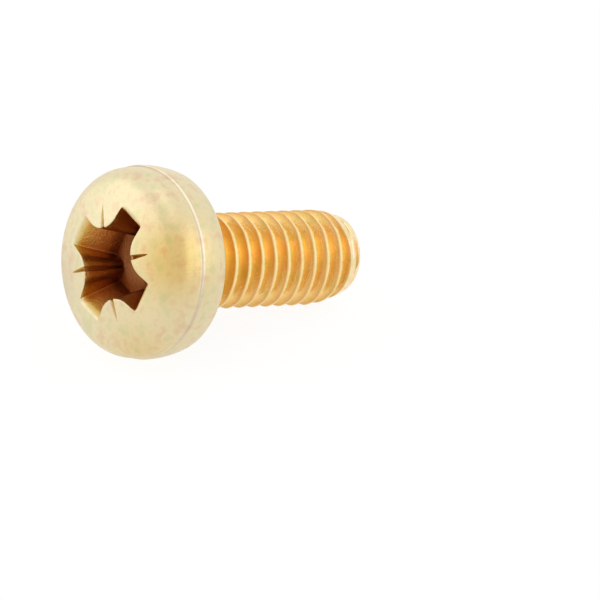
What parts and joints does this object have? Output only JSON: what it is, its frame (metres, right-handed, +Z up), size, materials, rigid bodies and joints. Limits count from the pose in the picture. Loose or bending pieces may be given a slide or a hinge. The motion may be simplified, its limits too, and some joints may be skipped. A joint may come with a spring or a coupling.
{
  "type": "pan head screw",
  "caption": "Small yellow-zinc pan head screw with a cross recess, a short plain neck and a blunt tapered point, lying on its side as it comes to rest.",
  "frame": {"origin": "centre of the bounding box's bottom: the screw lies on a flat surface at z = 0, on the side of its head and a crest near the end of its thread", "axes": "+X from the head towards the point, seen from above; +Z up, away from the surface; the screw's own axis lies in the XZ plane and slopes down to the point by 12.54 degrees"},
  "size_m": [0.008, 0.005, 0.0049],
  "materials": {
    "yellow_zinc": "steel, zinc plated and yellow passivated: satin cream on the head, golden on the shank and in the recess"
  },
  "bodies": {
    "root": {"pan_head_screw": "yellow_zinc"}
  },
  "joints": []
}
